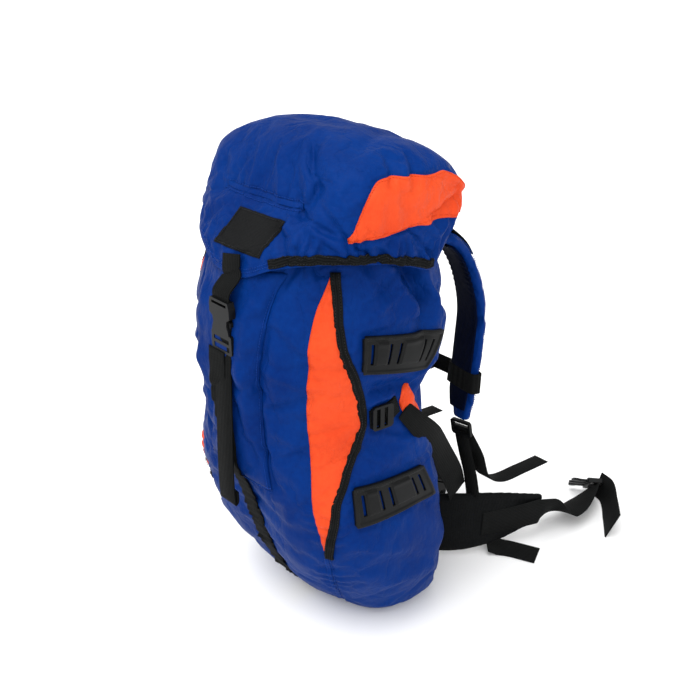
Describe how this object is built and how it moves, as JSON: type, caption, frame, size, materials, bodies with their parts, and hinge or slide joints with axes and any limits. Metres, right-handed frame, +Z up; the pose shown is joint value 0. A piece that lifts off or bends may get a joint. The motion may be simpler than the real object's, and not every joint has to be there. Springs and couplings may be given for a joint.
{
  "type": "hiking backpack",
  "caption": "Top-loading hiking backpack with a floating lid, padded shoulder straps, padded hip belt, moulded side lash patches and a buckled front strap.",
  "frame": {"origin": "centre of the flat bottom of the bag, on the floor that it stands on", "axes": "+Z up from the floor; -Y out of the front of the bag, away from the wearer's back; +X the wearer's right"},
  "size_m": [0.4236, 0.6477, 0.66],
  "materials": {
    "blue_nylon": "royal blue coated nylon cloth with a fine weave and a soft sheen",
    "orange_nylon": "orange nylon cloth with a fine weave",
    "black_webbing": "black ribbed polyester webbing and binding tape",
    "black_padding": "black padded cloth and mesh over foam",
    "navy_lining": "dark navy spacer mesh",
    "black_plastic": "black acetal buckles and locks with a low sheen",
    "black_rubber": "black moulded lash patches, satin"
  },
  "bodies": {
    "root": {"pack_body": "blue_nylon", "crescent_front_right": "orange_nylon", "crescent_front_left": "orange_nylon", "binding_front_right": "black_webbing", "binding_front_left": "black_webbing", "crescent_rear_right": "orange_nylon", "crescent_rear_left": "orange_nylon", "front_pocket": "blue_nylon", "lash_patch_upper_right": "black_rubber", "lash_patch_upper_left": "black_rubber", "lash_patch_lower_right": "black_rubber", "lash_patch_lower_left": "black_rubber", "lid": "blue_nylon", "lid_end_panel_right": "orange_nylon", "lid_end_panel_left": "orange_nylon", "lid_hem_binding_right": "black_webbing", "lid_hem_binding_left": "black_webbing", "label_patch": "black_webbing", "lid_strap": "black_webbing", "lid_buckle_socket": "black_plastic", "lid_buckle_plug": "black_plastic", "front_strap_tail": "black_webbing", "front_strap_anchor": "black_webbing", "side_strap_right": "black_webbing", "side_strap_left": "black_webbing", "side_ladder_lock_right": "black_plastic", "side_ladder_lock_left": "black_plastic", "back_panel": "black_padding", "lumbar_pad": "black_padding", "shoulder_strap_right": "blue_nylon", "shoulder_strap_left": "blue_nylon", "shoulder_lining_right": "navy_lining", "shoulder_lining_left": "navy_lining", "load_lifter_right": "black_webbing", "load_lifter_left": "black_webbing", "sternum_band_right": "black_webbing", "sternum_band_left": "black_webbing", "sternum_strap_right": "black_webbing", "sternum_strap_left": "black_webbing", "sternum_buckle": "black_plastic", "shoulder_lock_right": "black_plastic", "shoulder_lock_left": "black_plastic", "shoulder_webbing_right": "black_webbing", "shoulder_webbing_left": "black_webbing", "shoulder_tail_right": "black_webbing", "shoulder_tail_left": "black_webbing", "hip_wing_right": "black_padding", "hip_wing_left": "black_padding", "hip_stabiliser_right": "black_webbing", "hip_stabiliser_left": "black_webbing", "hip_tail_right": "black_webbing", "hip_tail_left": "black_webbing", "belt_webbing_right": "black_webbing", "belt_webbing_left": "black_webbing", "belt_tail": "black_webbing", "belt_buckle_plug": "black_plastic", "belt_buckle_socket": "black_plastic"}
  },
  "joints": []
}
